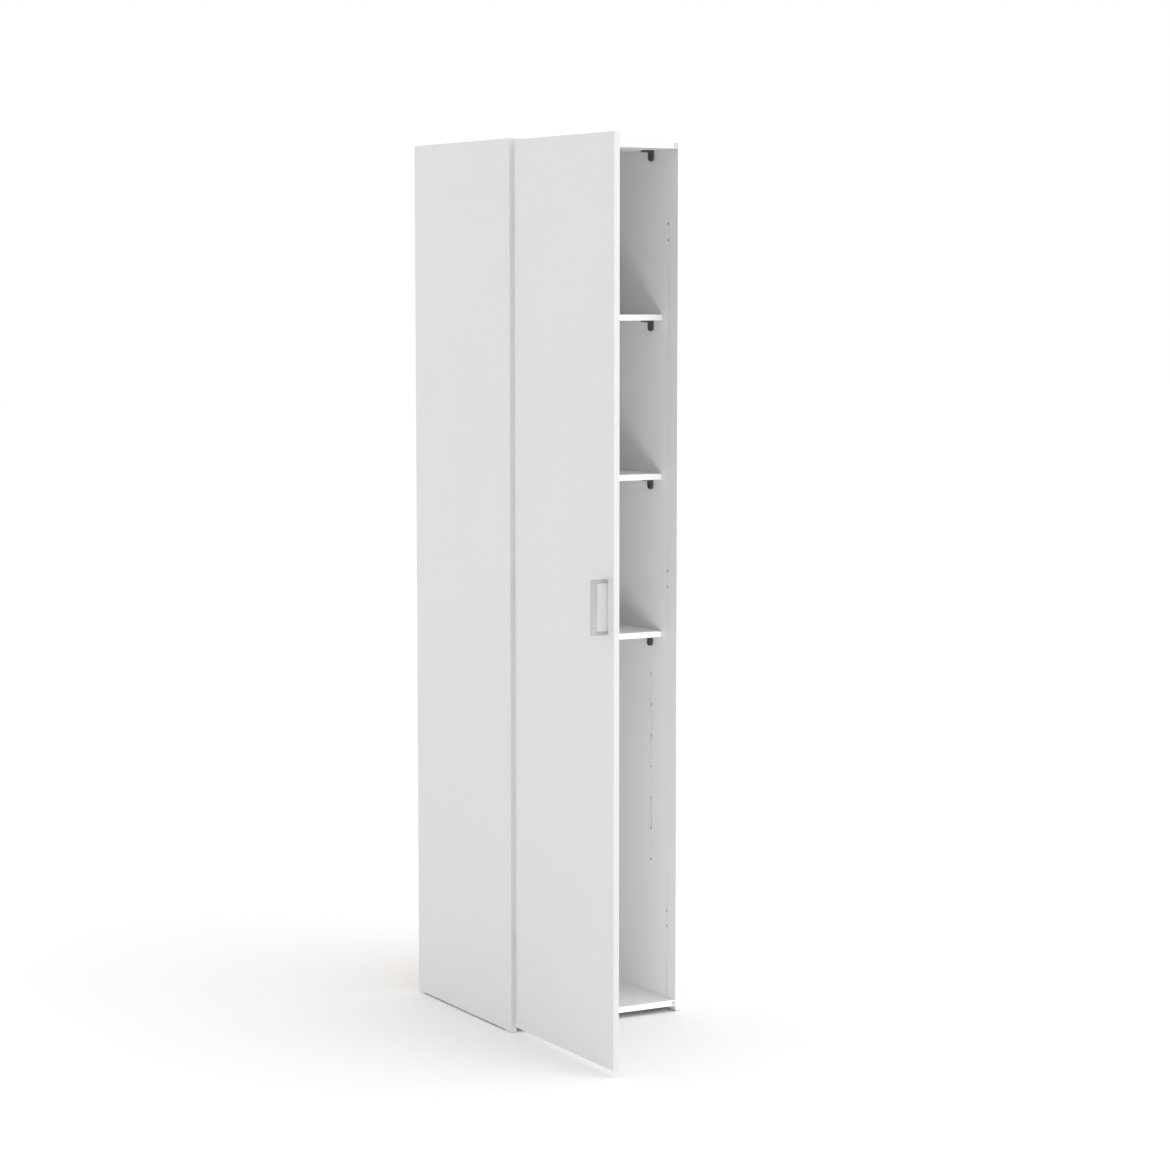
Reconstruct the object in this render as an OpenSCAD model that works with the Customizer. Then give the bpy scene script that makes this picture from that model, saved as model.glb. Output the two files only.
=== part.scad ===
// Tall, narrow storage cupboard with one full-height door, drawn with the door standing open.
// X runs to the right along the front, Y runs to the back, Z runs up from the floor.
// The origin is on the floor, in the middle of the space the cupboard takes up with its door open.

/* [Cabinet] */
// Outside width of the cabinet
cabinet_w = 390; // [300:5:600]
// Depth of the side panels, front edge to back edge
cabinet_d = 414; // [320:2:600]
// Height from the floor to the top face
cabinet_h = 1754; // [1450:2:2150]
// Thickness of every board
board_t = 12; // [10:1:18]
// Thickness of the back panel
back_t = 3; // [2.5:0.5:4]
// Height of the bottom panel's underside above the floor
floor_gap = 12; // [8:1:60]

/* [Shelves] */
// Distance from the side panels' front edge to a shelf's front edge
shelf_setback = 59; // [58:1:80]
// Height of the lowest hole in each row
first_row_z = 298.5; // [250:0.5:330]
// Holes counted up the row from the lowest one to the lowest shelf's hole
lowest_shelf_row = 7; // [5:1:9]
// Holes counted from one shelf up to the next
rows_per_shelf = 5; // [4:1:5]
// Distance from the front edge to the front row of holes
front_row_y = 101; // [95:1:120]
// Distance from the back edge to the rear row of holes
rear_row_inset = 57; // [45:1:80]

/* [Door] */
// Gap between the door's edges and the cabinet's outer side faces
door_reveal = 2; // [1:0.5:3]
// Gap between the closed door and the cabinet's front edges
door_gap = 2; // [2:0.5:3]
// Height of the door's lower edge above the floor
door_foot = 14; // [6:1:30]
// Distance from the door's upper edge to the top face
door_head = 3; // [1:0.5:8]
// Distance from the door's ends to the outer hinges
hinge_inset = 172.5; // [100:0.5:220]
// Diameter of a hinge cup
cup_d = 35; // [30:1:40]

/* [Handle] */
// Distance between the two handle screws
handle_span = 96; // [64:32:192]
// Distance from the door's free edge to the handle
handle_inset = 25; // [20:1:60]
// Distance from the door's face to the middle of the grip
handle_reach = 28.5; // [22:0.5:40]
// Thickness of the grip
grip_d = 10; // [8:1:14]

/* [Part] */
// Which piece to show

/* [Hidden] */

// Colours
white_board = [0.93, 0.93, 0.925];
brown_board = [0.72, 0.62, 0.48];
white_plastic = [0.95, 0.95, 0.94];
dark_plastic = [0.24, 0.24, 0.25];
clear_plastic = [0.84, 0.85, 0.86];
nickel = [0.72, 0.72, 0.73];
zinc = [0.62, 0.63, 0.65];
beech = [0.78, 0.63, 0.43];

// A cut runs this far past the face it opens
past = 1;
// Roundness of small holes and screws, rounded corners, bores, hinge cups, hinge leaves and the handle
hole_fn = 16;
corner_fn = 24;
bore_fn = 32;
cup_fn = 48;
leaf_fn = 96;
grip_fn = 32;

// Side panels stand on glides
glide_h = 3;
glide_l = 24;
glide_nail_r = 1;
glide_nail_l = 12;
glide_inset = 1;
glide_taper = 1;
glide_skin = 1;
inner_w = cabinet_w - 2 * board_t;
right_face_x = cabinet_w - board_t;
top_z = cabinet_h - board_t;

// Back panel, held in grooves all round
groove_depth = 4;
groove_slack = 0.1;
groove_end_play = 0.2;
back_inset = 12;
back_y = cabinet_d - back_inset;

// Rows of holes
hole_r = 2.5;
wood_behind_hole = 2.5;
hole_depth = board_t - wood_behind_hole;
row_pitch = 64;
rear_row_y = cabinet_d - rear_row_inset;
row_ys = [front_row_y, rear_row_y];
shelf_rows = [for (i = [0:2]) lowest_shelf_row + i * rows_per_shelf];
spare_zs = [for (i = [0:lowest_shelf_row - 1]) first_row_z + i * row_pitch];

// Angled supports under the shelves and under the top panel
support_w = 15;
support_t = 6;
support_drop = 22;
support_reach = 22;
support_lip = 4;
support_foot_r = 7;
support_hole_drop = 15.5;
lip_screw_x = 15.5;
shelf_play = 0.5;
shelf_under_zs = [for (r = shelf_rows) first_row_z + r * row_pitch + support_hole_drop];
shelf_back_gap = 2;

// Screws, each with a little play round its shank and a little air at its tip
screw_play = 0.1;
tip_air = 0.5;
screw_r = 2.4;
head_r = 3.9;
head_h = 2;
head_room = 0.3;
// Share of a head's recess that its head fills
head_fill = 0.8;
side_screw_l = hole_depth - tip_air;
small_r = 1.7;
small_head_r = 3;
small_head_h = 1.4;
small_l = 8;

// Dowels between the side panels and the two fixed panels
dowel_r = 3;
dowel_in_side = 8;
dowel_in_panel = 16;
dowel_air = 0.3;
dowel_ys = [62, cabinet_d - 96];

// Cam locks in the bottom panel's underside
cam_r = 6;
cam_play = 0.1;
cam_inset = 24;
cam_slot_w = 1.2;
cam_slot_l = 8.4;
cam_bore_r = 3.5;
cam_bore_past = 2;
cam_bolt_r = 2.9;
// A cam reaches just past its bolt, which runs down the middle of the board
cam_h = board_t / 2 + cam_bolt_r + cam_play;
cam_bolt_past = 1;
cam_head_l = 2;
cam_neck_r = 1.6;
cam_neck_l = 4;
cam_ys = [36, cabinet_d - 62];
bottom_mid_z = floor_gap + board_t / 2;
top_mid_z = top_z + board_t / 2;

// Wall fixing
bracket_w = 32;
bracket_leg = 30;
bracket_t = 2;
wall_hole_r = 3;
wall_hole_drop = 18;
bracket_hole_spread = 18;
bracket_hole_inset = 18;
bracket_hole_y = back_y - bracket_hole_inset;

// Door in its open position: it swings about a line just in front of its own hinge edge
axis_inset = 3.25;
axis_lead = 0.25;
axis_x = door_reveal + axis_inset;
axis_y = -(door_gap + board_t + axis_lead);
door_w = cabinet_w - 2 * door_reveal;
door_z0 = door_foot;
door_z1 = cabinet_h - door_head;
door_mid_z = (door_z0 + door_z1) / 2;
door_out_x = axis_x + axis_lead;
door_in_x = door_out_x + board_t;
door_hinge_y = axis_y + axis_inset;
door_free_y = door_hinge_y - door_w;

// Hinges
hinge_zs = [door_z0 + hinge_inset, door_mid_z, door_z1 - hinge_inset];
plate_row_y = 37;
plate_pitch = 32;
plate_t = 2.5;
plate_w = 14;
plate_h = 48;
plate_hole_play = 0.3;
block_t = 11;
block_l = 30;
block_w = 9;
adjuster_r = 3;
adjuster_offset = 10;
arm_out_x = board_t + 15;
arm_in_x = board_t + 4;
arm_web_t = 2;
arm_web_y = 16;
arm_shoulder_y = 14;
arm_back_y = 57;
cup_r = cup_d / 2;
cup_edge = 4;
cup_wall = 0.8;
cup_slack = 0.1;
wood_under_cup = 3;
cup_depth = board_t - wood_under_cup;
flange_t = 1;
flange_rim = 1;
flange_reach = 24;
flange_offset = 6;
flange_lobe_r = 5;
flange_screw_l = 7;
// Curved leaves of the hinge, centred on the door's turning line
leaf_in_r = 22;
leaf_out_r = 26;
leaf_room = 1.5;
leaf_clear = 0.6;
leaf_low = asin((axis_lead + wood_under_cup + cup_wall + leaf_clear) / leaf_in_r);
leaf_high = acos((board_t - axis_x + leaf_room) / leaf_in_r);
// Angle at which the arm's nose widens into its cheeks
arm_neck = 38;
link_cover_in = 26.4;
link_cover_out = 27.4;
knuckle_half = 1.9;
link_in_z = 2.2;
link_out_z = 4.7;
nose_in_z = 5;
nose_out_z = 8;
// Foot that joins a cup's own leaf to the cup's floor
knuckle_foot_inset = 17;
knuckle_foot_l = 6.4;
knuckle_foot_h = 3;
// How far the door stands open
swing_now = 90;

// Handle; each post has a spigot in the grip and a threaded hole for its screw
post_r = 3.5;
spigot_r = 2.4;
handle_screw_r = 2;
handle_screw_in_post = 18;
post_thread_start = 8;
handle_y = door_free_y + handle_inset;
handle_x = door_out_x - handle_reach;

// Outermost points with the door open, which set the origin
reach_left = handle_x - grip_d / 2;
origin_x = (reach_left + cabinet_w) / 2;
origin_y = (door_free_y + cabinet_d) / 2;

module placed() {
    translate([-origin_x, -origin_y, 0]) children();
}

// Cylinder that lies along X, from x0 to x1
module rod_x(r, x0, x1, y, z, fn = hole_fn) {
    translate([x0, y, z]) rotate([0, 90, 0]) cylinder(r = r, h = x1 - x0, $fn = fn);
}

// Cylinder that lies along Y, from y0 to y1
module rod_y(r, y0, y1, x, z, fn = hole_fn) {
    translate([x, y0, z]) rotate([-90, 0, 0]) cylinder(r = r, h = y1 - y0, $fn = fn);
}

module rod_z(r, z0, z1, x, y, fn = hole_fn) {
    translate([x, y, z0]) cylinder(r = r, h = z1 - z0, $fn = fn);
}

// Countersunk screw whose head rests at the origin and whose shank points along +Z
module screw(shank_r, shank_l, top_r, top_h) {
    rotate_extrude($fn = hole_fn)
        polygon([
            [0, -top_h], [top_r * 0.75, -top_h], [top_r, -top_h * 0.5], [top_r, 0],
            [shank_r, 0], [shank_r, shank_l - shank_r], [shank_r * 0.3, shank_l], [0, shank_l]
        ]);
}

// One copy for the left side panel and a mirrored one for the right
module both_sides() {
    children();
    translate([cabinet_w, 0, 0]) mirror([1, 0, 0]) children();
}

// Left side panel, with every hole that opens on its inner face
module side_board() {
    difference() {
        translate([0, 0, glide_h]) cube([board_t, cabinet_d, cabinet_h - glide_h]);
        for (y = row_ys) {
            for (z = spare_zs) rod_x(hole_r, board_t - hole_depth, board_t + past, y, z);
            for (z = shelf_under_zs)
                rod_x(hole_r, board_t - hole_depth, board_t + past, y, z - support_hole_drop);
            rod_x(hole_r, board_t - hole_depth, board_t + past, y, top_z - support_hole_drop);
        }
        for (z = hinge_zs, side = [-1, 1])
            rod_x(hole_r, board_t - hole_depth, board_t + past, plate_row_y, z + side * plate_pitch / 2);
        for (y = dowel_ys, z = [bottom_mid_z, top_mid_z])
            rod_x(dowel_r, board_t - dowel_in_side, board_t + past, y, z);
        for (y = cam_ys) rod_x(hole_r, board_t - hole_depth, board_t + past, y, bottom_mid_z);
        for (y = [glide_inset + glide_l / 2, cabinet_d - glide_inset - glide_l / 2])
            rod_z(glide_nail_r, glide_h - past, glide_h + glide_nail_l, board_t / 2, y);
        translate([board_t - groove_depth, back_y - groove_slack / 2, glide_h - past])
            cube([groove_depth + past, back_t + groove_slack, cabinet_h]);
    }
}

// The door hangs on the left side panel and closes on the right one
module side_hinged() {
    color(white_board) placed() side_board();
}

module side_closing() {
    color(white_board) placed() translate([cabinet_w, 0, 0]) mirror([1, 0, 0]) side_board();
}

// Panel between the side panels; its groove for the back opens up or down
module fixed_panel(z, groove_z) {
    difference() {
        translate([board_t, 0, z]) cube([inner_w, cabinet_d, board_t]);
        translate([0, back_y - groove_slack / 2, groove_z])
            cube([cabinet_w, back_t + groove_slack, groove_depth + past]);
        both_sides() for (y = dowel_ys)
            rod_x(dowel_r, board_t - past, board_t + dowel_in_panel, y, z + board_t / 2);
    }
}

module top_panel() {
    color(white_board) placed() difference() {
        fixed_panel(top_z, top_z - past);
        both_sides() for (y = row_ys)
            rod_z(small_r, top_z - past, top_z + small_l, board_t + lip_screw_x, y);
        for (side = [-1, 1])
            rod_z(small_r, top_z - past, top_z + small_l,
                cabinet_w / 2 + side * bracket_hole_spread / 2, bracket_hole_y);
    }
}

module bottom_panel() {
    color(white_board) placed() difference() {
        fixed_panel(floor_gap, floor_gap + board_t - groove_depth);
        both_sides() for (y = cam_ys) {
            rod_x(cam_bore_r, board_t - past, board_t + cam_inset, y, bottom_mid_z);
            rod_z(cam_r + cam_play, floor_gap - past, floor_gap + cam_h + cam_play,
                board_t + cam_inset, y, bore_fn);
        }
    }
}

module back_panel() {
    grip = groove_depth - groove_end_play;
    color(brown_board) placed() difference() {
        translate([board_t - grip, back_y, floor_gap + board_t - grip])
            cube([inner_w + 2 * grip, back_t, top_z - floor_gap - board_t + 2 * grip]);
        rod_y(wall_hole_r, back_y - past, back_y + back_t + past,
            cabinet_w / 2, top_z - wall_hole_drop, bore_fn);
    }
}

// Shelf number i, counted from the lowest
module shelf(i) {
    color(white_board) placed() difference() {
        translate([board_t + shelf_play, shelf_setback, shelf_under_zs[i]])
            cube([inner_w - 2 * shelf_play, back_y - shelf_back_gap - shelf_setback, board_t]);
        both_sides() for (y = row_ys)
            rod_z(small_r, shelf_under_zs[i] - past, shelf_under_zs[i] + small_l,
                board_t + lip_screw_x, y);
    }
}

module shelf_low() { shelf(0); }
module shelf_mid() { shelf(1); }
module shelf_high() { shelf(2); }

// Angled support on the left side panel: the upright leg is rounded at its foot
module support(y, z) {
    foot_x = support_w / 2 - support_foot_r;
    difference() {
        union() {
            translate([board_t, y, z]) rotate([90, 0, 90]) linear_extrude(height = support_t)
                hull() {
                    translate([-support_w / 2, -support_lip]) square([support_w, support_lip]);
                    for (side = [-1, 1])
                        translate([side * foot_x, support_foot_r - support_drop])
                            circle(r = support_foot_r, $fn = corner_fn);
                }
            translate([board_t, y - support_w / 2, z - support_lip])
                cube([support_reach, support_w, support_lip]);
        }
        rod_x(screw_r + screw_play, board_t - past, board_t + support_t + past,
            y, z - support_hole_drop);
        rod_x(head_r + head_room, board_t + support_t - head_h, board_t + support_t + past,
            y, z - support_hole_drop);
        rod_z(small_r + screw_play, z - support_lip - past, z + past, board_t + lip_screw_x, y);
    }
}

module supports(z) {
    color(dark_plastic) placed() both_sides() for (y = row_ys) support(y, z);
}

module supports_low() { supports(shelf_under_zs[0]); }
module supports_mid() { supports(shelf_under_zs[1]); }
module supports_high() { supports(shelf_under_zs[2]); }
module supports_top() { supports(top_z); }

support_zs = concat(shelf_under_zs, [top_z]);

module support_screws() {
    head_x = board_t + support_t - head_h;
    color(zinc) placed() both_sides() for (y = row_ys, z = support_zs)
        translate([head_x, y, z - support_hole_drop]) rotate([0, -90, 0])
            screw(screw_r, support_t - head_h + side_screw_l, head_r, head_h * head_fill);
}

module shelf_screws() {
    color(zinc) placed() both_sides() for (y = row_ys, z = support_zs)
        translate([board_t + lip_screw_x, y, z - support_lip])
            screw(small_r, support_lip + small_l - tip_air, small_head_r, small_head_h);
}

module panel_dowels() {
    color(beech) placed() both_sides() for (y = dowel_ys, z = [bottom_mid_z, top_mid_z])
        rod_x(dowel_r, board_t - dowel_in_side + dowel_air, board_t + dowel_in_panel - dowel_air,
            y, z);
}

// Each cam is a drum with a slot across it that grips its bolt's head
module cam_locks() {
    x = board_t + cam_inset;
    color(zinc) placed() both_sides() for (y = cam_ys) difference() {
        rod_z(cam_r, floor_gap, floor_gap + cam_h, x, y, bore_fn);
        rod_x(cam_bore_r, x - cam_r - past, x + cam_bore_past, y, bottom_mid_z);
        for (turn = [0, 90])
            translate([x, y, floor_gap]) rotate([0, 0, turn])
                cube([cam_slot_w, cam_slot_l, 2 * cam_slot_w], center = true);
    }
}

module cam_bolts() {
    tip_x = board_t + cam_inset + cam_bolt_past;
    head_x = tip_x - cam_head_l;
    neck_x = head_x - cam_neck_l;
    color(zinc) placed() both_sides() for (y = cam_ys) {
        rod_x(screw_r, board_t - side_screw_l, board_t, y, bottom_mid_z);
        rod_x(cam_bolt_r, board_t, neck_x, y, bottom_mid_z);
        rod_x(cam_neck_r, neck_x, head_x, y, bottom_mid_z);
        rod_x(cam_bolt_r, head_x, tip_x, y, bottom_mid_z);
    }
}

// Plastic glide under one end of a side panel, with the nail that holds it
module glide(y0) {
    rim = glide_inset / 2;
    foot = rim + glide_taper;
    hull() {
        translate([rim, y0, glide_h - glide_skin]) cube([board_t - 2 * rim, glide_l, glide_skin]);
        translate([foot, y0 + foot, 0]) cube([board_t - 2 * foot, glide_l - 2 * foot, glide_skin]);
    }
    rod_z(glide_nail_r - screw_play, glide_h - glide_skin, glide_h + glide_nail_l - tip_air,
        board_t / 2, y0 + glide_l / 2);
}

module glides() {
    color(white_plastic) placed() both_sides() {
        glide(glide_inset);
        glide(cabinet_d - glide_inset - glide_l);
    }
}

// Soft pads on the front edges, at the end away from the hinges
module door_bumpers() {
    pad_w = 8.5;
    pad_h = 7.5;
    pad_inset = 0.75;
    closed_air = 0.4;
    pad_t = door_gap - closed_air;
    color(clear_plastic) placed() for (z = [bottom_mid_z, top_mid_z])
        translate([right_face_x - pad_inset - pad_w, -pad_t, z - pad_h / 2])
            cube([pad_w, pad_t, pad_h]);
}

module wall_bracket() {
    mid_x = cabinet_w / 2;
    color(zinc) placed() difference() {
        union() {
            translate([mid_x - bracket_w / 2, back_y - bracket_leg, top_z - bracket_t])
                cube([bracket_w, bracket_leg, bracket_t]);
            translate([mid_x - bracket_w / 2, back_y - bracket_t, top_z - bracket_leg])
                cube([bracket_w, bracket_t, bracket_leg]);
        }
        rod_y(wall_hole_r, back_y - bracket_t - past, back_y + past,
            mid_x, top_z - wall_hole_drop, bore_fn);
        for (side = [-1, 1])
            rod_z(small_r + screw_play, top_z - bracket_t - past, top_z + past,
                mid_x + side * bracket_hole_spread / 2, bracket_hole_y);
    }
}

module wall_bracket_screws() {
    color(zinc) placed() for (side = [-1, 1])
        translate([cabinet_w / 2 + side * bracket_hole_spread / 2, bracket_hole_y, top_z - bracket_t])
            screw(small_r, bracket_t + small_l - tip_air, small_head_r, small_head_h);
}

// Plate screwed to the left side panel, with the raised block that the arm clips onto
module hinge_plates() {
    color(nickel) placed() for (z = hinge_zs) difference() {
        union() {
            translate([board_t, plate_row_y - plate_w / 2, z - plate_h / 2])
                cube([plate_t, plate_w, plate_h]);
            translate([board_t, plate_row_y - block_l / 2, z - block_w / 2])
                cube([block_t, block_l, block_w]);
        }
        for (side = [-1, 1])
            rod_x(screw_r + plate_hole_play, board_t - past, board_t + plate_t + past,
                plate_row_y, z + side * plate_pitch / 2);
    }
}

module hinge_plate_screws() {
    color(nickel) placed() for (z = hinge_zs) {
        for (side = [-1, 1])
            translate([board_t + plate_t, plate_row_y, z + side * plate_pitch / 2]) rotate([0, -90, 0])
                screw(screw_r, plate_t + side_screw_l, head_r, head_h);
        for (side = [-1, 1])
            rod_x(adjuster_r, arm_out_x, arm_out_x + small_head_h,
                plate_row_y + side * adjuster_offset, z);
    }
}

// Curved leaf about the door's turning line, between two angles and two heights
module leaf(r0, r1, a0, a1, z0, z1) {
    translate([axis_x, axis_y, z0]) rotate([0, 0, a0])
        rotate_extrude(angle = a1 - a0, $fn = leaf_fn)
            translate([r0, 0]) square([r1 - r0, z1 - z0]);
}

function arc_points(r, a0, a1, steps) = [
    for (i = [0:steps])
        let (a = a0 + (a1 - a0) * i / steps)
            [axis_x + r * cos(a), axis_y + r * sin(a)]
];

// Pressed steel arm: two cheeks joined by a web over the plate's block, ending in a curved nose
module hinge_arms() {
    cheek_t = nose_out_z - nose_in_z;
    color(nickel) placed() for (z = hinge_zs) {
        for (low = [z - nose_out_z, z + nose_in_z])
            translate([0, 0, low]) linear_extrude(height = cheek_t)
                polygon(concat(
                    arc_points(leaf_out_r, leaf_low, arm_neck, 8),
                    [[arm_out_x, arm_shoulder_y], [arm_out_x, arm_back_y]],
                    [[arm_in_x, arm_back_y], [arm_in_x, arm_web_y]],
                    arc_points(leaf_in_r, leaf_high, leaf_low, 16)
                ));
        translate([arm_out_x - arm_web_t, arm_web_y, z - nose_out_z])
            cube([arm_web_t, arm_back_y - arm_web_y, 2 * nose_out_z]);
    }
}

// Middle leaf of each hinge, which turns half as far as the door
module hinge_links() {
    turn = -swing_now / 2;
    low = leaf_low + turn;
    high = leaf_high + turn;
    color(nickel) placed() for (z = hinge_zs) {
        leaf(leaf_in_r, link_cover_out, low, high, z - link_out_z, z - link_in_z);
        leaf(leaf_in_r, link_cover_out, low, high, z + link_in_z, z + link_out_z);
        leaf(link_cover_in, link_cover_out, low, high, z - link_out_z, z + link_out_z);
    }
}

// Draws its children where the open door carries them; inside, the door is in its closed place
module on_door() {
    translate([axis_x, axis_y, 0]) rotate([0, 0, -swing_now])
        translate([-axis_x, -axis_y, 0]) children();
}

cup_x = door_reveal + cup_edge + cup_r;
door_face_y = -door_gap;
cup_floor_y = door_face_y - cup_depth;

// Outline of a cup's flange, seen from the cabinet
module flange_outline() {
    hull() {
        circle(r = cup_r + flange_rim, $fn = cup_fn);
        for (side = [-1, 1])
            translate([flange_offset, side * flange_reach])
                circle(r = flange_lobe_r, $fn = corner_fn);
    }
}

// The steel cup is let into the door and its flange lies on the door's inner face
module hinge_cups() {
    color(nickel) placed() on_door() for (z = hinge_zs) difference() {
        union() {
            rod_y(cup_r - cup_slack, cup_floor_y, door_face_y, cup_x, z, cup_fn);
            translate([cup_x, door_face_y + flange_t, z]) rotate([90, 0, 0])
                linear_extrude(height = flange_t) flange_outline();
        }
        rod_y(cup_r - cup_slack - cup_wall, cup_floor_y + cup_wall, door_face_y + flange_t + past,
            cup_x, z, cup_fn);
        for (side = [-1, 1])
            rod_y(small_r + screw_play, door_face_y - past, door_face_y + flange_t + past,
                cup_x + flange_offset, z + side * flange_reach);
    }
}

// Leaf fixed in each cup
module hinge_knuckles() {
    foot_x = axis_x + knuckle_foot_inset;
    color(nickel) placed() on_door() for (z = hinge_zs) {
        leaf(leaf_in_r, leaf_out_r, leaf_low, leaf_high, z - knuckle_half, z + knuckle_half);
        translate([foot_x, cup_floor_y + cup_wall, z - knuckle_half])
            cube([knuckle_foot_l, knuckle_foot_h, 2 * knuckle_half]);
    }
}

module hinge_cup_screws() {
    color(nickel) placed() on_door() for (z = hinge_zs, side = [-1, 1])
        translate([cup_x + flange_offset, door_face_y + flange_t, z + side * flange_reach])
            rotate([90, 0, 0])
                screw(small_r, flange_t + flange_screw_l, small_head_r, flange_t * head_fill);
}

module door_panel() {
    color(white_board) placed() on_door() difference() {
        translate([door_reveal, door_face_y - board_t, door_z0])
            cube([door_w, board_t, door_z1 - door_z0]);
        for (z = hinge_zs) {
            rod_y(cup_r, cup_floor_y, door_face_y + past, cup_x, z, cup_fn);
            for (side = [-1, 1])
                rod_y(small_r, door_face_y - flange_screw_l - tip_air, door_face_y + past,
                    cup_x + flange_offset, z + side * flange_reach);
        }
        for (side = [-1, 1])
            rod_y(handle_screw_r + screw_play, door_face_y - board_t - past, door_face_y + past,
                door_reveal + door_w - handle_inset, door_mid_z + side * handle_span / 2);
    }
}

post_zs = [door_mid_z - handle_span / 2, door_mid_z + handle_span / 2];

module handle_grip() {
    color(nickel) placed() difference() {
        rod_z(grip_d / 2, post_zs[0] - post_r, post_zs[1] + post_r, handle_x, handle_y, grip_fn);
        for (z = post_zs) rod_x(spigot_r, handle_x, handle_x + grip_d, handle_y, z);
    }
}

// The posts stop at the grip's round back, where a narrower spigot goes on into it
module handle_posts() {
    color(nickel) placed() for (z = post_zs) difference() {
        union() {
            rod_x(post_r, handle_x + grip_d / 2, door_out_x, handle_y, z, corner_fn);
            rod_x(spigot_r, handle_x + past, door_out_x, handle_y, z, hole_fn);
        }
        rod_x(handle_screw_r, handle_x + post_thread_start, door_out_x + past, handle_y, z);
    }
}

module handle_screws() {
    color(zinc) placed() for (z = post_zs)
        translate([door_in_x, handle_y, z]) rotate([0, -90, 0])
            screw(handle_screw_r, board_t + handle_screw_in_post, head_r, head_h);
}

side_closing();
side_hinged();
top_panel();
bottom_panel();
back_panel();
shelf_low();
shelf_mid();
shelf_high();
supports_low();
supports_mid();
supports_high();
supports_top();
support_screws();
shelf_screws();
panel_dowels();
cam_locks();
cam_bolts();
glides();
door_bumpers();
wall_bracket();
wall_bracket_screws();
hinge_plates();
hinge_plate_screws();
hinge_arms();
hinge_links();
hinge_cups();
hinge_knuckles();
hinge_cup_screws();
door_panel();
handle_grip();
handle_posts();
handle_screws();
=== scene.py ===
import math

import bmesh
import bpy
from mathutils import Matrix, Vector


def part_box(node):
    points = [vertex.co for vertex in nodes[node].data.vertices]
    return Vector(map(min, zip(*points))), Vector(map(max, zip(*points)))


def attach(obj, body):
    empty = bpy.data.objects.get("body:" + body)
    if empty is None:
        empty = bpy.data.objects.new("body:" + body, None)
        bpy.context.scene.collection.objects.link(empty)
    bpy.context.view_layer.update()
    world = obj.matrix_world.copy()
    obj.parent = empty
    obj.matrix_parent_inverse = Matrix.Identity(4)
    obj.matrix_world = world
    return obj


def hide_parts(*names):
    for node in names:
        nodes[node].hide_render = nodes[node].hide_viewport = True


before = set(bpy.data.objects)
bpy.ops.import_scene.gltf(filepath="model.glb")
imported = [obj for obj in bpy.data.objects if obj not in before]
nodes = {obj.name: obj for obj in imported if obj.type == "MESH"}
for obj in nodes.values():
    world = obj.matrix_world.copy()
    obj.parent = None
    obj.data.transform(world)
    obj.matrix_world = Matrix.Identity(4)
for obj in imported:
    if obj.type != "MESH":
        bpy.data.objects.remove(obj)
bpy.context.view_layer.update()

MM = 0.001


# ---------------------------------------------------------------- shader maths

class Signal:
    """One socket of a material, so that shader maths reads as plain sums."""

    def __init__(self, paint, socket):
        self.paint = paint
        self.socket = socket

    def _sum(self, operation, first, second, clamp=False):
        return self.paint.node("ShaderNodeMath", {"operation": operation, "use_clamp": clamp},
                               {0: first, 1: second})

    def __add__(self, other):
        return self._sum("ADD", self, other)

    __radd__ = __add__

    def __sub__(self, other):
        return self._sum("SUBTRACT", self, other)

    def __rsub__(self, other):
        return self._sum("SUBTRACT", other, self)

    def __mul__(self, other):
        return self._sum("MULTIPLY", self, other)

    __rmul__ = __mul__

    def __gt__(self, other):
        return self._sum("GREATER_THAN", self, other)

    def __lt__(self, other):
        return self._sum("LESS_THAN", self, other)

    def held(self):
        """The value kept between 0 and 1."""
        return self._sum("ADD", self, 0.0, clamp=True)


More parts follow.
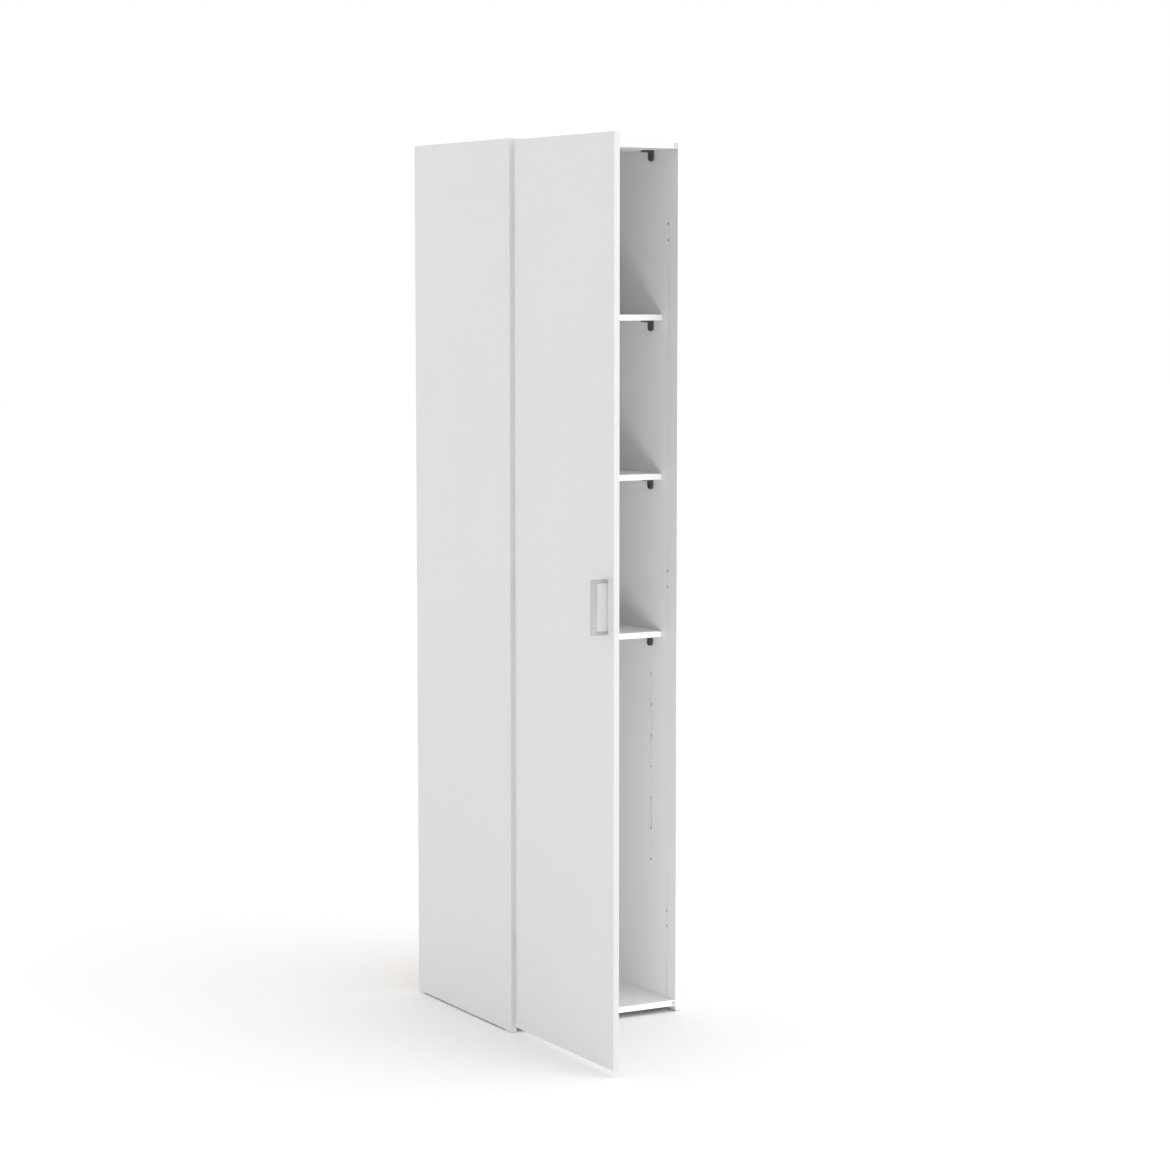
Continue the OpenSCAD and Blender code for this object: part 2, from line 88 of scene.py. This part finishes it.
class Paint:
    """A material and the one way to add a node to it."""

    def __init__(self, name, **surface):
        self.material = bpy.data.materials.new(name)
        self.material.use_nodes = True
        self.tree = self.material.node_tree
        self.tree.nodes.clear()
        self.output = self.tree.nodes.new("ShaderNodeOutputMaterial")
        self.shader = self.tree.nodes.new("ShaderNodeBsdfPrincipled")
        self.tree.links.new(self.shader.outputs["BSDF"], self.output.inputs["Surface"])
        for socket, value in surface.items():
            self.shader.inputs[socket.replace("_", " ")].default_value = value

    def node(self, kind, settings=None, sockets=None, out=0):
        made = self.tree.nodes.new(kind)
        for name, value in (settings or {}).items():
            setattr(made, name, value)
        for name, value in (sockets or {}).items():
            self.feed(made.inputs[name], value)
        return Signal(self, made.outputs[out])

    def feed(self, socket, value):
        if isinstance(value, Signal):
            self.tree.links.new(value.socket, socket)
        else:
            socket.default_value = value

    def place(self):
        """Where a point is on the object, in metres."""
        return self.node("ShaderNodeTexCoord", out="Object")

    def axes(self, place):
        made = self.tree.nodes.new("ShaderNodeSeparateXYZ")
        self.tree.links.new(place.socket, made.inputs[0])
        return [Signal(self, made.outputs[i]) for i in range(3)]

    def stretched(self, place, x, y, z):
        """The place scaled along each axis, to draw a texture out along one of them."""
        return self.node("ShaderNodeVectorMath", {"operation": "MULTIPLY"},
                         {0: place, 1: (x, y, z)})

    def noise(self, place, scale, detail, roughness=0.5):
        return self.node("ShaderNodeTexNoise", {},
                         {"Vector": place, "Scale": scale, "Detail": detail, "Roughness": roughness})

    def cells(self, place, scale):
        return self.node("ShaderNodeTexVoronoi", {"feature": "F1"},
                         {"Vector": place, "Scale": scale}, out="Distance")

    def between(self, amount, low, high):
        """The colour that lies between two others."""
        return self.node("ShaderNodeMix", {"data_type": "RGBA"}, {0: amount, 6: low, 7: high},
                         out=2)

    def colour(self, value):
        self.feed(self.shader.inputs["Base Color"], value)

    def roughness(self, value):
        self.feed(self.shader.inputs["Roughness"], value)

    def relief(self, height, depth, strength):
        bump = self.node("ShaderNodeBump", {}, {"Height": height, "Distance": depth,
                                                "Strength": strength})
        self.feed(self.shader.inputs["Normal"], bump)


def tone(red, green, blue):
    return (red, green, blue, 1.0)


# ---------------------------------------------------------------- finishes

EDGE_STRIP = 0.9 * MM
SKIN = 0.3 * MM
# The glue line beside a strip reaches a little under the strip and a little past it.
SEAM_UNDER = 0.06 * MM
SEAM_PAST = 0.12 * MM
BOARD_WHITE = (0.690, 0.690, 0.683)
BOARD_PALE = (0.712, 0.712, 0.706)
STRIP_WHITE = (0.725, 0.725, 0.722)
SEAM_GREY = (0.44, 0.43, 0.41)


def inside(axes, low, high, by):
    """1 where a point lies further than this below every face of a board, as a hole's wall does."""
    deep = 1.0
    for value, start, end in zip(axes, low, high):
        deep = (value > start + by) * (value < end - by) * deep
    return deep


def chipboard(paint, place):
    """Colour of the pressed chips inside a board."""
    flakes = paint.cells(paint.stretched(place, 1, 1, 0.35), 520)
    dust = paint.noise(place, 1500, 4)
    pale = paint.between(dust, tone(0.42, 0.31, 0.19), tone(0.63, 0.49, 0.33))
    return paint.between((flakes * 1.3).held(), pale, tone(0.33, 0.23, 0.14))


def white_melamine(node, banded):
    """White melamine over chipboard.

    banded lists the edges with a glued strip, each as its axis and whether it is at the high end.
    """
    low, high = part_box(node)
    paint = Paint(node + "_melamine", Specular_IOR_Level=0.42)
    place = paint.place()
    axes = paint.axes(place)
    cloud = paint.noise(place, 2.3, 2)
    pearl = paint.noise(place, 950, 2)
    speck = paint.noise(place, 2600, 1)
    face = paint.between(cloud, tone(*BOARD_WHITE), tone(*BOARD_PALE))
    face = paint.between((pearl * 0.35).held(), face, tone(*STRIP_WHITE))
    wear = paint.noise(place, 38, 4)
    thin = min(range(3), key=lambda axis: high[axis] - low[axis])
    strip = seam = bare = 0.0
    for axis in (axis for axis in range(3) if axis != thin):
        for at_high in (False, True):
            edge = high[axis] if at_high else low[axis]
            depth = (edge - axes[axis]) if at_high else (axes[axis] - edge)
            if (axis, at_high) in banded:
                strip = (depth < EDGE_STRIP) + strip
                seam = (depth < EDGE_STRIP + SEAM_PAST) * (depth > EDGE_STRIP - SEAM_UNDER) + seam
            else:
                bare = (depth < SKIN) + bare
    face = paint.between(strip.held(), face, tone(*STRIP_WHITE))
    face = paint.between((seam * wear * 0.9).held(), face, tone(*SEAM_GREY))
    core = inside(axes, low, high, SKIN)
    if bare != 0.0:
        between_skins = (axes[thin] > low[thin] + SKIN) * (axes[thin] < high[thin] - SKIN)
        core = (core + bare * between_skins).held()
    paint.colour(paint.between(core, face, chipboard(paint, place)))
    smear = paint.noise(paint.stretched(place, 1, 1, 0.45), 9, 4)
    paint.roughness((smear * 0.10 + pearl * 0.06 + 0.33 + core * 0.45).held())
    paint.relief(pearl * 0.7 + speck * 0.3, 0.035 * MM, 0.55)
    return paint.material


def hardboard(node):
    """Thin board, lacquered white towards the shelves and brown with a wire-screen print behind."""
    low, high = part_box(node)
    paint = Paint("hardboard", Specular_IOR_Level=0.35)
    place = paint.place()
    axes = paint.axes(place)
    behind = axes[1] > low[1] + SKIN
    fibre = paint.noise(paint.stretched(place, 1, 1, 3), 700, 5)
    cloud = paint.noise(place, 6, 3)
    white = paint.between(cloud, tone(0.660, 0.660, 0.652), tone(0.700, 0.699, 0.692))
    brown = paint.between(fibre, tone(0.30, 0.17, 0.08), tone(0.52, 0.34, 0.19))
    brown = paint.between(cloud, brown, tone(0.40, 0.25, 0.13))
    paint.colour(paint.between(behind, white, brown))
    warp, weft = (paint.node("ShaderNodeTexWave", {"wave_type": "BANDS", "bands_direction": along},
                             {"Vector": place, "Scale": 160.0, "Distortion": 0.6}, out="Fac")
                  for along in ("X", "Z"))
    paint.roughness((behind * 0.38 + fibre * 0.08 + 0.40).held())
    paint.relief((warp * weft + fibre * 0.6) * behind + fibre * 0.15, 0.12 * MM, 0.7)
    return paint.material


def moulded_plastic(name, dark, light, rough, grain=900, depth=0.05, **surface):
    """Plastic with its mould's spark-eroded grain and a little rub. depth is in millimetres."""
    paint = Paint(name, **surface)
    place = paint.place()
    pores = paint.cells(place, grain)
    cloud = paint.noise(place, 60, 4)
    rub = paint.noise(place, 320, 3)
    paint.colour(paint.between((cloud * 0.7 + pores * 0.3).held(), dark, light))
    paint.roughness((rub * 0.16 + rough - 0.08).held())
    paint.relief(pores + rub * 0.4, depth * MM, 0.5)
    return paint.material


def plated_steel(name, dull, bright, rough, draw=(1, 1, 1), scale=420):
    """Plated steel with its drawn or tumbled marks along the stretched axis."""
    paint = Paint(name, Metallic=1.0)
    place = paint.place()
    drawn = paint.noise(paint.stretched(place, *draw), scale, 4, 0.6)
    cloud = paint.noise(place, 45, 3)
    fine = paint.noise(paint.stretched(place, *draw), scale * 5, 2)
    paint.colour(paint.between((drawn * 0.6 + cloud * 0.4).held(), dull, bright))
    paint.roughness((drawn * 0.16 + cloud * 0.08 + rough - 0.1).held())
    paint.relief(drawn * 0.5 + fine * 0.5, 0.012 * MM, 0.6)
    return paint.material


def bare_beech():
    """Fluted beech, with short dark flecks along the dowel."""
    paint = Paint("beech", Specular_IOR_Level=0.3)
    place = paint.place()
    grain = paint.noise(paint.stretched(place, 0.12, 1, 1), 900, 5, 0.65)
    fleck = paint.cells(paint.stretched(place, 0.25, 1, 1), 800)
    wood = paint.between(grain, tone(0.42, 0.26, 0.13), tone(0.66, 0.46, 0.28))
    paint.colour(paint.between((fleck < 0.18) * 0.5, wood, tone(0.30, 0.17, 0.08)))
    paint.roughness((grain * 0.2 + 0.55).held())
    paint.relief(grain, 0.08 * MM, 0.6)
    return paint.material


Y, Z = 1, 2
FRONT, REAR, FOOT, HEAD = (Y, False), (Y, True), (Z, False), (Z, True)
banded_edges = {
    "side_hinged": [FRONT, FOOT, HEAD],
    "side_closing": [FRONT, FOOT, HEAD],
    "top_panel": [FRONT],
    "bottom_panel": [FRONT],
    "shelf_low": [FRONT],
    "shelf_mid": [FRONT],
    "shelf_high": [FRONT],
    "door_panel": [FRONT, REAR, FOOT, HEAD],
}
finish = {node: white_melamine(node, banded) for node, banded in banded_edges.items()}
finish["back_panel"] = hardboard("back_panel")
white_plastic = moulded_plastic("white_glide", tone(0.68, 0.68, 0.67),
                                tone(0.74, 0.74, 0.73), 0.42)
dark_plastic = moulded_plastic("charcoal_nylon", tone(0.046, 0.047, 0.049),
                               tone(0.086, 0.087, 0.09), 0.46)
clear_silicone = moulded_plastic("clear_silicone", tone(0.52, 0.53, 0.54),
                                 tone(0.66, 0.67, 0.68), 0.3, 1400, 0.03, Coat_Weight=0.4)
dark_zinc = plated_steel("blackened_zinc", tone(0.10, 0.10, 0.105), tone(0.19, 0.19, 0.20), 0.38)
zinc = plated_steel("bright_zinc", tone(0.46, 0.47, 0.50), tone(0.66, 0.67, 0.70), 0.36)
nickel = plated_steel("nickel_plate", tone(0.52, 0.51, 0.49), tone(0.71, 0.70, 0.67), 0.27,
                      (1, 1, 0.3))
satin = plated_steel("satin_grip", tone(0.48, 0.48, 0.47), tone(0.62, 0.62, 0.61), 0.4,
                     (1, 1, 0.03), 1300)
beech = bare_beech()

# ---------------------------------------------------------------- boards and pressed parts

# Corners nearer than this are one corner, and an edge that turns by more than this is an arris.
WELD_WITHIN = 0.01 * MM
ARRIS_FROM = math.radians(40)

BOARD_ARRIS = 0.4 * MM
MOULDED_ARRIS = 0.6 * MM
SMALL_PART_ARRIS = 0.3 * MM
FITTING_ARRIS = 0.25 * MM
HINGE_ARRIS = 0.2 * MM


def soften(node, width, segments=2):
    """Rounds the arrises of a piece that keeps its own shape.

    The overlap clamp stays off, because the needle-thin faces beside a drilled edge would shrink
    every arris of the piece to nothing. Its price is a fine crease beside the door's handle holes.
    """
    weld = nodes[node].modifiers.new("weld", "WELD")
    weld.merge_threshold = WELD_WITHIN
    arris = nodes[node].modifiers.new("arris", "BEVEL")
    arris.width = width
    arris.segments = segments
    arris.limit_method = "ANGLE"
    arris.angle_limit = ARRIS_FROM
    arris.harden_normals = True
    arris.use_clamp_overlap = False


def dress(node, material):
    for held in nodes[node].material_slots:
        held.material = material


for node, material in finish.items():
    dress(node, material)
    if node != "back_panel":
        soften(node, BOARD_ARRIS)
for node in ("supports_low", "supports_mid", "supports_high", "supports_top"):
    dress(node, dark_plastic)
    soften(node, MOULDED_ARRIS, 3)
dress("door_bumpers", clear_silicone)
soften("door_bumpers", MOULDED_ARRIS, 4)
for node, material in (("glides", white_plastic), ("panel_dowels", beech)):
    dress(node, material)
    soften(node, SMALL_PART_ARRIS)
for node in ("cam_locks", "cam_bolts", "wall_bracket"):
    dress(node, zinc)
    soften(node, FITTING_ARRIS)
for node in ("hinge_plates", "hinge_arms", "hinge_links", "hinge_cups", "hinge_knuckles"):
    dress(node, nickel)
    soften(node, HINGE_ARRIS)


# ---------------------------------------------------------------- fastenings

CORNERS_PER_METRE = 1e5
ON_AXIS = 1e-7
SHARP_FROM = math.radians(35)

# Profile of a pan head, as shares of its radius and of its height.
PAN_HEAD = ((0.0, 0.0), (0.55, 0.0), (0.8, -0.12), (0.95, -0.35), (1.0, -0.7), (1.0, -1.0))
THREAD_ROOT = 0.72
THREAD_PITCH = 0.45
RECESS_TAPER = 0.72
RECESS_DEPTH = 0.75
SCREW_SIDES = 24
# Each screw stops at its own angle, in degrees.
FIRST_STOP = 11
STOP_STEP = 37

def lone_pieces(node):
    """The box of each separate solid of a node, lowest first."""
    mesh = nodes[node].data
    corner_of = [tuple(round(value * CORNERS_PER_METRE) for value in vertex.co)
                 for vertex in mesh.vertices]
    leader = {corner: corner for corner in corner_of}

    def top(corner):
        while leader[corner] != corner:
            leader[corner] = leader[leader[corner]]
            corner = leader[corner]
        return corner

    for edge in mesh.edges:
        leader[top(corner_of[edge.vertices[0]])] = top(corner_of[edge.vertices[1]])
    gathered = {}
    for vertex, corner in zip(mesh.vertices, corner_of):
        gathered.setdefault(top(corner), []).append(vertex.co)
    boxes = []
    for points in gathered.values():
        boxes.append((Vector([min(point[i] for point in points) for i in range(3)]),
                      Vector([max(point[i] for point in points) for i in range(3)])))
    return sorted(boxes, key=lambda box: [round(box[0][axis], 4) for axis in (2, 0, 1)])


def turned(shape, outline, steps):
    """Adds to a bmesh the shape that a lathe turns from an outline of (radius, height) about Z."""
    rings = []
    for radius, height in outline:
        if radius < ON_AXIS:
            rings.append([shape.verts.new((0, 0, height))])
        else:
            turns = [2 * math.pi * i / steps for i in range(steps)]
            rings.append([shape.verts.new((radius * math.cos(turn), radius * math.sin(turn), height))
                          for turn in turns])
    for lower, upper in zip(rings, rings[1:]):
        for i in range(steps):
            j = (i + 1) % steps
            corners = [lower[i % len(lower)], lower[j % len(lower)],
                       upper[j % len(upper)], upper[i % len(upper)]]
            shape.faces.new(list(dict.fromkeys(corners)))


def screw_outline(head, head_height, shank, length, thread_from):
    """Outline of a pan-head screw, from the middle of its head's face down to its point."""
    depth = head_height + thread_from
    pitch = THREAD_PITCH * shank
    root = THREAD_ROOT * shank
    rows = [(out * head, down * head_height) for out, down in PAN_HEAD]
    rows += [(shank, -head_height), (shank, -depth)]
    while depth + pitch < length - 1.2 * shank:
        rows += [(root, -depth - 0.4 * pitch), (root, -depth - 0.6 * pitch),
                 (shank, -depth - pitch)]
        depth += pitch
    rows += [(root, -length + shank), (0.0, -length)]
    return rows


def cut_cross(shape, head, depth):
    """Cuts a cross recess by drawing the middle of the head's face into a four-armed star."""
    arm, notch = 0.52 * head, 0.15 * head
    star = []
    for quarter in range(4):
        turn = quarter * math.pi / 2
        for along, across in ((notch, -notch), (arm, -notch), (arm, notch)):
            star.append((along * math.cos(turn) - across * math.sin(turn),
                         along * math.sin(turn) + across * math.cos(turn)))
    middle = next(vertex for vertex in shape.verts if vertex.co.length < ON_AXIS)
    ring = [edge.other_vert(middle) for edge in middle.link_edges]
    ring.sort(key=lambda vertex: math.atan2(vertex.co.y, vertex.co.x))
    shape.verts.remove(middle)
    lip = [shape.verts.new((x, y, 0)) for x, y in star]
    well = [shape.verts.new((RECESS_TAPER * x, RECESS_TAPER * y, -depth)) for x, y in star]
    every = len(ring) / len(lip)
    start = min(range(len(ring)), key=lambda i: (ring[i].co.xy - lip[0].co.xy).length)
    for i, corner in enumerate(lip):
        first, last = round(i * every), round((i + 1) * every)
        outer = [ring[(start + k) % len(ring)] for k in range(first, last + 1)]
        following = lip[(i + 1) % len(lip)]
        shape.faces.new(list(dict.fromkeys([corner] + outer + [following])))
        shape.faces.new((corner, following, well[(i + 1) % len(lip)], well[i]))
    shape.faces.new(well)


def bolt_up(name, shape, body, material, material_slot, *stands_for):
    """Turns a bmesh into a piece that rides on a body and replaces the CAD pieces it stands for."""
    bmesh.ops.recalc_face_normals(shape, faces=shape.faces)
    for face in shape.faces:
        face.smooth = True
    mesh = bpy.data.meshes.new(name)
    shape.to_mesh(mesh)
    shape.free()
    mesh.materials.append(material)
    piece = bpy.data.objects.new(name, mesh)
    bpy.context.scene.collection.objects.link(piece)
    mesh.set_sharp_from_angle(angle=SHARP_FROM)
    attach(piece, body)
    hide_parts(*stands_for)
    return piece


def copied(shape, pattern, matrix):
    """Adds a copy of a pattern mesh to a bmesh at a place."""
    mesh = bpy.data.meshes.new("pattern")
    pattern.to_mesh(mesh)
    mesh.transform(matrix)
    shape.from_mesh(mesh)
    bpy.data.meshes.remove(mesh)


def screws(node, head_towards, body, material, material_slot, head_height, shank,
           thread_from):
    """Pan-head screws with a cross recess in the place of a node's plain ones."""
    shape = bmesh.new()
    for number, (low, high) in enumerate(lone_pieces(node)):
        middle = (low + high) / 2
        facing = head_towards(middle)
        axis = max(range(3), key=lambda i: abs(facing[i]))
        head = max(high[i] - low[i] for i in range(3) if i != axis) / 2
        length = high[axis] - low[axis]
        one = bmesh.new()
        turned(one, screw_outline(head, head_height, shank, length, thread_from), SCREW_SIDES)
        cut_cross(one, head, RECESS_DEPTH * head_height)
        at = middle + facing * length / 2
        turn = Vector((0, 0, 1)).rotation_difference(facing).to_matrix().to_4x4()
        spin = Matrix.Rotation(math.radians(STOP_STEP * number + FIRST_STOP), 4, "Z")
        copied(shape, one, Matrix.Translation(at) @ turn @ spin)
        one.free()
    return bolt_up(node + "_cross_head", shape, body, material, material_slot, node)


RIGHT, LEFT, DOWN = Vector((1, 0, 0)), Vector((-1, 0, 0)), Vector((0, 0, -1))
inner_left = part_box("side_hinged")[1].x
inner_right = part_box("side_closing")[0].x
cabinet_middle = (inner_left + inner_right) / 2


def into_cabinet(place):
    return RIGHT if place.x < cabinet_middle else LEFT


screws("support_screws", into_cabinet, "cabinet", dark_zinc, "zinc_steel",
       head_height=1.6 * MM, shank=2.4 * MM, thread_from=4 * MM)
screws("shelf_screws", lambda place: DOWN, "cabinet", zinc, "zinc_steel",
       head_height=1.4 * MM, shank=1.7 * MM, thread_from=3 * MM)
screws("hinge_plate_screws", lambda place: RIGHT, "cabinet", nickel, "nickel_steel",
       head_height=2 * MM, shank=2.4 * MM, thread_from=2 * MM)
screws("wall_bracket_screws", lambda place: DOWN, "cabinet", zinc, "zinc_steel",
       head_height=1.4 * MM, shank=1.7 * MM, thread_from=2 * MM)
screws("hinge_cup_screws", lambda place: RIGHT, "door", nickel, "nickel_steel",
       head_height=0.8 * MM, shank=1.7 * MM, thread_from=1 * MM)
screws("handle_screws", lambda place: RIGHT, "door", zinc, "zinc_steel",
       head_height=2 * MM, shank=2 * MM, thread_from=12 * MM)


# ---------------------------------------------------------------- handle

def rounded_square(half, corner, steps):
    """Outline of a square bar with rounded corners."""
    outline = []
    for quarter in range(4):
        centre_x = (half - corner) * (1 if quarter in (0, 3) else -1)
        centre_y = (half - corner) * (1 if quarter in (0, 1) else -1)
        for i in range(steps + 1):
            turn = (quarter + i / steps) * math.pi / 2
            outline.append((centre_x + corner * math.cos(turn),
                            centre_y + corner * math.sin(turn)))
    return outline


def bow_handle():
    """Square-cornered bow: a soft-edged bar with a turned post and collar at each end."""
    low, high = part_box("handle_grip")
    posts = lone_pieces("handle_posts")
    half = (high.y - low.y) / 2
    centre = (low + high) / 2
    shape = bmesh.new()
    ends = 0.9 * MM
    collar = 0.8 * MM
    flare = 0.3 * MM
    layers = [(low.z, half - ends), (low.z + 0.3 * ends, half - 0.35 * ends), (low.z + ends, half),
              (high.z - ends, half), (high.z - 0.3 * ends, half - 0.35 * ends), (high.z, half - ends)]
    rings = []
    for height, reach in layers:
        rings.append([shape.verts.new((centre.x + x, centre.y + y, height))
                      for x, y in rounded_square(reach, 0.3 * reach, 5)])
    for lower, upper in zip(rings, rings[1:]):
        for i in range(len(lower)):
            j = (i + 1) % len(lower)
            shape.faces.new((lower[i], lower[j], upper[j], upper[i]))
    shape.faces.new(rings[0][::-1])
    shape.faces.new(rings[-1])
    for post_low, post_high in posts:
        middle = (post_low + post_high) / 2
        radius = (post_high.z - post_low.z) / 2
        run = post_high.x - centre.x
        one = bmesh.new()
        turned(one, [(0, 0), (radius + flare, 0), (radius + flare, -collar), (radius, -1.5 * collar),
                     (radius, -run), (0, -run)], 32)
        turn = Vector((0, 0, 1)).rotation_difference(RIGHT).to_matrix().to_4x4()
        copied(shape, one, Matrix.Translation((post_high.x, middle.y, middle.z)) @ turn)
        one.free()
    return bolt_up("bow_handle", shape, "door", satin, "satin_metal", "handle_grip", "handle_posts")


handle = bow_handle()


# ---------------------------------------------------------------- room, light and camera

FLOOR_REACH = 30.0
CAMERA_AT = (-2.9501, -5.2642, 1.4826)
# In degrees.
CAMERA_LOOKS_DOWN = 5.685
CAMERA_LOOKS_RIGHT = 29.188
CAMERA_LENS = 94.24

def floor_sheet():
    """A wide pale floor under the glides."""
    mesh = bpy.data.meshes.new("floor")
    mesh.from_pydata([(-FLOOR_REACH, -FLOOR_REACH, 0), (FLOOR_REACH, -FLOOR_REACH, 0),
                      (FLOOR_REACH, FLOOR_REACH, 0), (-FLOOR_REACH, FLOOR_REACH, 0)], [],
                     [(0, 1, 2, 3)])
    sheet = bpy.data.objects.new("floor", mesh)
    bpy.context.scene.collection.objects.link(sheet)
    paint = Paint("pale_floor", Specular_IOR_Level=0.2)
    cloud = paint.noise(paint.place(), 0.8, 3)
    paint.colour(paint.between(cloud, tone(0.885, 0.885, 0.885), tone(0.905, 0.905, 0.905)))
    paint.roughness(cloud * 0.1 + 0.6)
    mesh.materials.append(paint.material)


def soft_sun(name, from_direction, strength, width):
    """Even light from high in the sky, the same all over the floor. width is in degrees."""
    lamp = bpy.data.lights.new(name, "SUN")
    lamp.energy = strength
    lamp.angle = math.radians(width)
    made = bpy.data.objects.new(name, lamp)
    made.rotation_euler = Vector(from_direction).to_track_quat("Z", "Y").to_euler()
    bpy.context.scene.collection.objects.link(made)


def softbox(name, at, towards, size, watts, lit=(), spared=()):
    """A square softbox. lit holds the only pieces that it lights, and spared those it leaves out."""
    lamp = bpy.data.lights.new(name, "AREA")
    lamp.size = size
    lamp.energy = watts
    made = bpy.data.objects.new(name, lamp)
    made.location = at
    made.rotation_euler = (Vector(towards) - Vector(at)).to_track_quat("-Z", "Y").to_euler()
    made.visible_camera = False
    bpy.context.scene.collection.objects.link(made)
    if lit or spared:
        group = bpy.data.collections.new(name + "_reaches")
        for piece in (*lit, *spared):
            group.objects.link(piece)
        for held in group.collection_objects:
            held.light_linking.link_state = "INCLUDE" if lit else "EXCLUDE"
        made.light_linking.receiver_collection = group


def white_room(strength):
    world = bpy.data.worlds.new("white_room")
    world.use_nodes = True
    world.node_tree.nodes["Background"].inputs["Color"].default_value = tone(1, 1, 1)
    world.node_tree.nodes["Background"].inputs["Strength"].default_value = strength
    bpy.context.scene.world = world


def camera():
    """Stands well to the left of the front, a little below eye height, with a long lens."""
    lens = bpy.data.cameras.new("camera")
    lens.sensor_width = 36
    lens.lens = CAMERA_LENS
    lens.clip_end = 100
    made = bpy.data.objects.new("camera", lens)
    made.location = CAMERA_AT
    made.rotation_euler = (math.radians(90 - CAMERA_LOOKS_DOWN), 0,
                           math.radians(-CAMERA_LOOKS_RIGHT))
    bpy.context.scene.collection.objects.link(made)
    bpy.context.scene.camera = made


floor_sheet()
white_room(1.0)
soft_sun("key", from_direction=(0.25, -0.25, 0.95), strength=0.55, width=40)
softbox("front", at=(1.6, -3.4, 1.5), towards=(0, 0, 0.9), size=2.0, watts=20, spared=[handle])
softbox("low_fill", at=(-0.5, -1.3, 0.2), towards=(inner_right, 0.1, 0.7), size=0.6, watts=20,
        lit=[nodes[node] for node in finish if node not in ("side_hinged", "door_panel")])
camera()
bpy.context.scene.view_settings.view_transform = "Standard"
